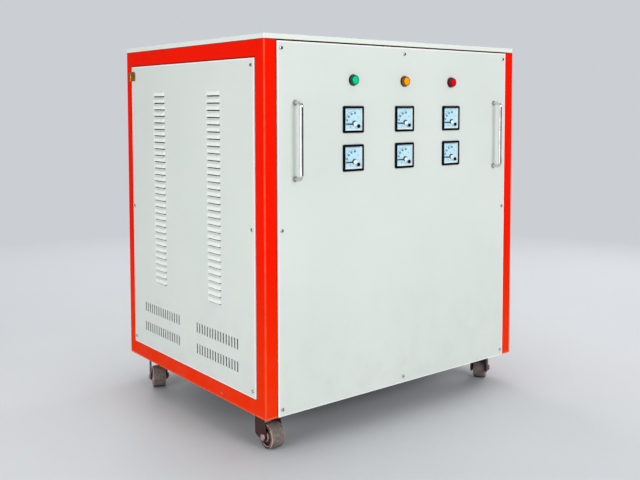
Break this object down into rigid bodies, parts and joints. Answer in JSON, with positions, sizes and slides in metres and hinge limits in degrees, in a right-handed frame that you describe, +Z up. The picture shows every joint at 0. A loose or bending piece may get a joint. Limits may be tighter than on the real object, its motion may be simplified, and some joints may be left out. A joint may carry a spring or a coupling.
{
  "type": "dry-type power transformer in a cabinet on castors",
  "caption": "Free-standing cabinet transformer: orange frame, pale louvred panels, square meters, pilot lamps, tubular handles and swivel castors.",
  "frame": {"origin": "on the floor, under the middle of the overall box", "axes": "+X to the right seen from the front, +Y to the back, +Z up; the meters and handles face -Y"},
  "size_m": [0.968, 0.828, 1.081],
  "materials": {
    "frame_paint": "semi-gloss orange-red stove enamel",
    "panel_paint": "pale grey-green powder coat, slight texture",
    "catch_brass": "dull yellow-passivated",
    "handle_chrome": "polished",
    "lamp_ring_green": "dark green moulded ring",
    "lamp_lens_green": "green translucent lens",
    "lamp_ring_amber": "dark amber moulded ring",
    "lamp_lens_amber": "amber translucent lens",
    "lamp_ring_red": "dark red moulded ring",
    "lamp_lens_red": "red translucent lens",
    "meter_black": "black moulded case",
    "dial_white": "printed dial plate",
    "meter_glass": "clear window",
    "core_steel": "varnished laminations",
    "coil_resin": "varnished winding",
    "core_frame_paint": "dark paint",
    "castor_steel": "dark plated pressed steel, worn",
    "castor_bolt": "plated bolt",
    "castor_wheel": "dark solid tyre compound"
  },
  "bodies": {
    "cabinet": {"post_front_left": "frame_paint", "post_front_right": "frame_paint", "post_back_left": "frame_paint", "post_back_right": "frame_paint", "side_top_rails": "frame_paint", "side_bottom_rails": "frame_paint", "cross_rails_top": "frame_paint", "cross_rails_bottom": "frame_paint", "base_plate": "frame_paint", "lid": "panel_paint", "front_panel": "panel_paint", "back_panel": "panel_paint", "side_panel_left": "panel_paint", "side_panel_right": "panel_paint", "side_catches": "catch_brass", "handle_left": "handle_chrome", "handle_right": "handle_chrome", "lamp_bezel_green": "lamp_ring_green", "lamp_lens_green": "lamp_lens_green", "lamp_bezel_amber": "lamp_ring_amber", "lamp_lens_amber": "lamp_lens_amber", "lamp_bezel_red": "lamp_ring_red", "lamp_lens_red": "lamp_lens_red", "meter_cases": "meter_black", "meter_dials": "dial_white", "meter_windows": "meter_glass", "core": "core_steel", "coils": "coil_resin", "core_frame": "core_frame_paint", "castor_plate_front_left": "castor_steel", "castor_plate_front_right": "castor_steel", "castor_plate_back_left": "castor_steel", "castor_plate_back_right": "castor_steel"},
    "swivel_front_left": {"castor_fork_front_left": "castor_steel", "castor_axle_front_left": "castor_bolt"},
    "wheel_front_left": {"castor_wheel_front_left": "castor_wheel"},
    "swivel_front_right": {"castor_fork_front_right": "castor_steel", "castor_axle_front_right": "castor_bolt"},
    "wheel_front_right": {"castor_wheel_front_right": "castor_wheel"},
    "swivel_back_left": {"castor_fork_back_left": "castor_steel", "castor_axle_back_left": "castor_bolt"},
    "wheel_back_left": {"castor_wheel_back_left": "castor_wheel"},
    "swivel_back_right": {"castor_fork_back_right": "castor_steel", "castor_axle_back_right": "castor_bolt"},
    "wheel_back_right": {"castor_wheel_back_right": "castor_wheel"}
  },
  "joints": [
    {"name": "swivel_front_left_turn", "type": "hinge", "parent": "cabinet", "child": "swivel_front_left", "pos_m": [-0.419, -0.2985, 0.099], "axis": [0, 0, 1], "continuous": true},
    {"name": "wheel_front_left_roll", "type": "hinge", "parent": "swivel_front_left", "child": "wheel_front_left", "pos_m": [-0.42046, -0.32646, 0.034], "axis": [0.9986, -0.0523, 0], "continuous": true},
    {"name": "swivel_front_right_turn", "type": "hinge", "parent": "cabinet", "child": "swivel_front_right", "pos_m": [0.419, -0.2985, 0.099], "axis": [0, 0, 1], "continuous": true},
    {"name": "wheel_front_right_roll", "type": "hinge", "parent": "swivel_front_right", "child": "wheel_front_right", "pos_m": [0.44165, -0.28204, 0.034], "axis": [-0.5878, 0.809, 0], "continuous": true},
    {"name": "swivel_back_left_turn", "type": "hinge", "parent": "cabinet", "child": "swivel_back_left", "pos_m": [-0.419, 0.3315, 0.099], "axis": [0, 0, 1], "continuous": true},
    {"name": "wheel_back_left_roll", "type": "hinge", "parent": "swivel_back_left", "child": "wheel_back_left", "pos_m": [-0.42949, 0.30554, 0.034], "axis": [0.9272, -0.3746, 0], "continuous": true},
    {"name": "swivel_back_right_turn", "type": "hinge", "parent": "cabinet", "child": "swivel_back_right", "pos_m": [0.419, 0.3315, 0.099], "axis": [0, 0, 1], "continuous": true},
    {"name": "wheel_back_right_roll", "type": "hinge", "parent": "swivel_back_right", "child": "wheel_back_right", "pos_m": [0.42482, 0.35889, 0.034], "axis": [-0.9781, 0.2079, 0], "continuous": true}
  ]
}
